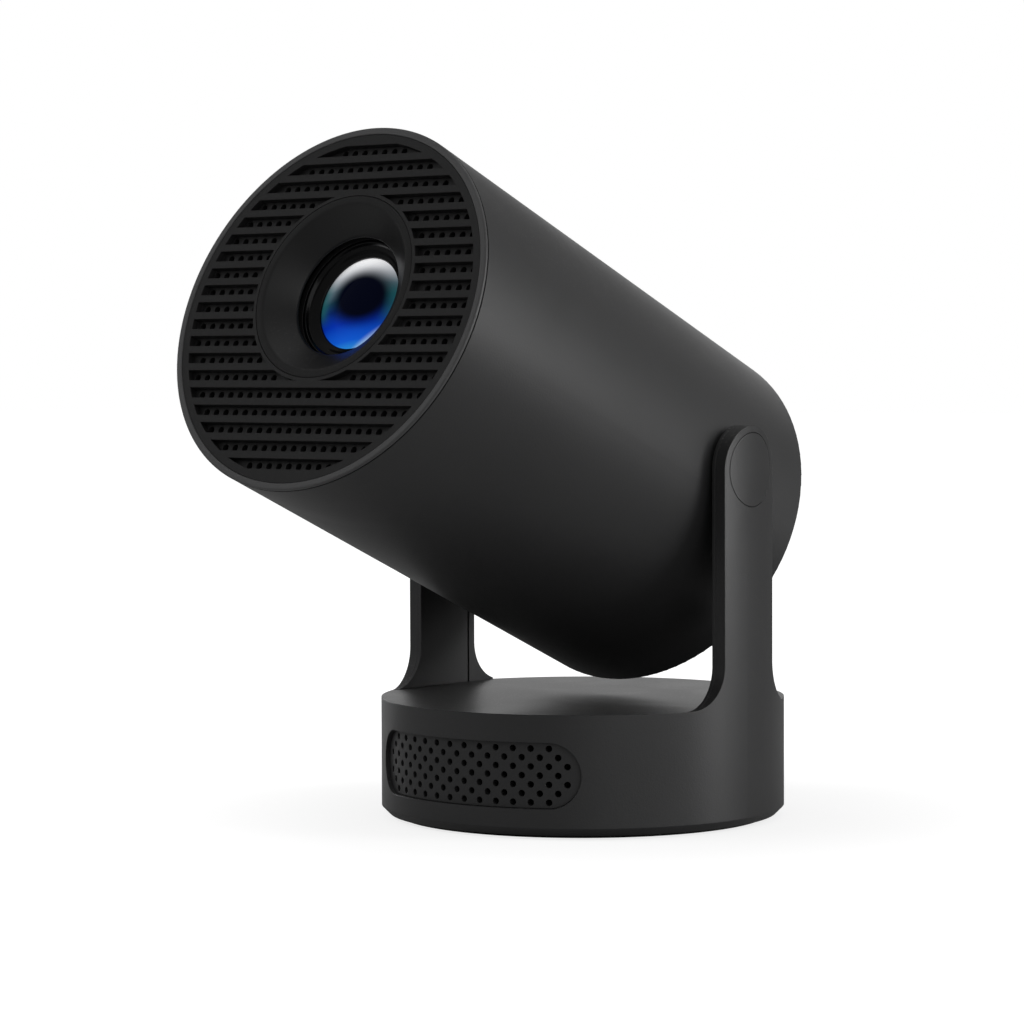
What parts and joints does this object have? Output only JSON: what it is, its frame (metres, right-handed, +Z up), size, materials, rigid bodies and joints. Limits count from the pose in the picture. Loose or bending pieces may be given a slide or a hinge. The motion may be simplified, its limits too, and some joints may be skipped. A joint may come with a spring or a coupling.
{
  "type": "home projector",
  "caption": "Compact home projector: a cylindrical lamp barrel with a recessed lens and slotted front grille, tilting between the two arms of a round speaker base.",
  "frame": {"origin": "centre of the base's circle, in the plane the foot ring stands on", "axes": "+Z up, -Y the way the lens looks, +X to the right as seen from behind the lens's light path, along the tilt axis"},
  "size_m": [0.113, 0.1822, 0.1879],
  "materials": {
    "shell_charcoal": "fine moulded grain, matte charcoal",
    "grille_charcoal": "fine moulded grain, matte charcoal",
    "hood_satin": "smooth satin black",
    "underside_plastic": "plain matte black",
    "foot_rubber": "soft black rubber",
    "button_gloss": "polished black",
    "retainer_gloss": "polished black ring",
    "inner_black": "plain black",
    "coated_glass": "lens glass with a blue coating",
    "clear_glass": "clear optical glass",
    "panel_glass": "liquid crystal panel",
    "window_tint": "dark red window",
    "light_pipe": "milky light pipe",
    "steel": "plain steel",
    "socket_shell": "nickel plate",
    "brass": "turned brass",
    "bush_plastic": "natural acetal",
    "aluminium": "extruded fins",
    "board": "green circuit board",
    "led_phosphor": "yellow phosphor",
    "ribbon": "flat cable",
    "cone": "pressed pulp"
  },
  "bodies": {
    "stand": {"stand_shell": "shell_charcoal", "arm_cover_left": "shell_charcoal", "arm_cover_right": "shell_charcoal", "pivot_bushes": "bush_plastic", "pivot_cap_left": "shell_charcoal", "pivot_cap_right": "shell_charcoal", "signal_ribbon": "ribbon", "base_cover": "underside_plastic", "foot_ring": "foot_rubber", "tripod_nut": "brass", "ballast_plate": "steel", "base_screws": "steel", "speaker_grille": "grille_charcoal", "speaker_basket": "inner_black", "speaker_cone": "cone", "speaker_magnet": "steel"},
    "barrel": {"barrel_shell": "shell_charcoal", "hinge_block_left": "inner_black", "hinge_block_right": "inner_black", "trunnions": "steel", "pivot_clips": "steel", "friction_washers": "bush_plastic", "hinge_screws": "steel", "front_ring": "shell_charcoal", "front_grille": "grille_charcoal", "lens_hood": "hood_satin", "lens_mount": "inner_black", "focus_motor": "steel", "optical_housing": "inner_black", "rear_fresnel": "clear_glass", "lcd_panel": "panel_glass", "front_fresnel": "clear_glass", "condenser_holder": "inner_black", "condenser_lens": "clear_glass", "led_board": "board", "led_emitter": "led_phosphor", "heat_sink": "aluminium", "engine_bracket": "steel", "fan_frame": "inner_black", "rear_cap": "shell_charcoal", "rear_screws": "steel", "engine_screws": "steel", "button_switch": "inner_black", "control_board": "board", "status_light": "light_pipe", "ir_window": "window_tint", "main_board": "board", "power_inlet": "inner_black", "audio_socket": "inner_black", "video_socket": "socket_shell", "usb_socket": "socket_shell"},
    "focus_ring": {"focus_ring": "inner_black"},
    "lens": {"lens_cell": "inner_black", "lens_retainer": "retainer_gloss", "front_lens": "coated_glass", "rear_lens": "clear_glass", "lens_spacer": "inner_black"},
    "motor_pinion": {"motor_pinion": "brass"},
    "fan_rotor": {"fan_rotor": "inner_black"},
    "power_button": {"power_button": "button_gloss"}
  },
  "joints": [
    {"name": "tilt", "type": "hinge", "parent": "stand", "child": "barrel", "pos_m": [0, 0.0027, 0.0976], "axis": [-1, 0, 0], "range_deg": [-22.7, 157.3]},
    {"name": "focus_turn", "type": "hinge", "parent": "barrel", "child": "focus_ring", "pos_m": [0, 0.00428, 0.10139], "axis": [0, -0.9225, 0.3859], "range_deg": [-60, 60]},
    {"name": "pinion_turn", "type": "hinge", "parent": "barrel", "child": "motor_pinion", "pos_m": [0, -0.00895, 0.06974], "axis": [0, -0.9225, 0.3859], "range_deg": [-285, 285]},
    {"name": "lens_slide", "type": "slide", "parent": "barrel", "child": "lens", "axis": [0, -0.9225, 0.3859], "range_m": [-0.00151, 0.00151]},
    {"name": "fan_spin", "type": "hinge", "parent": "barrel", "child": "fan_rotor", "pos_m": [0, 0.00594, 0.10535], "axis": [0, -0.9225, 0.3859], "continuous": true},
    {"name": "button_press", "type": "slide", "parent": "barrel", "child": "power_button", "axis": [0, -0.9225, 0.3859], "range_m": [0, 0.0008], "stiffness_N_per_m": 600, "springref_m": -0.0008}
  ],
  "couplings": [
    {"joint": "pinion_turn", "follows": "focus_turn", "ratio": -4.6667},
    {"joint": "lens_slide", "follows": "focus_turn", "m_per_rad": 0.0014324}
  ]
}
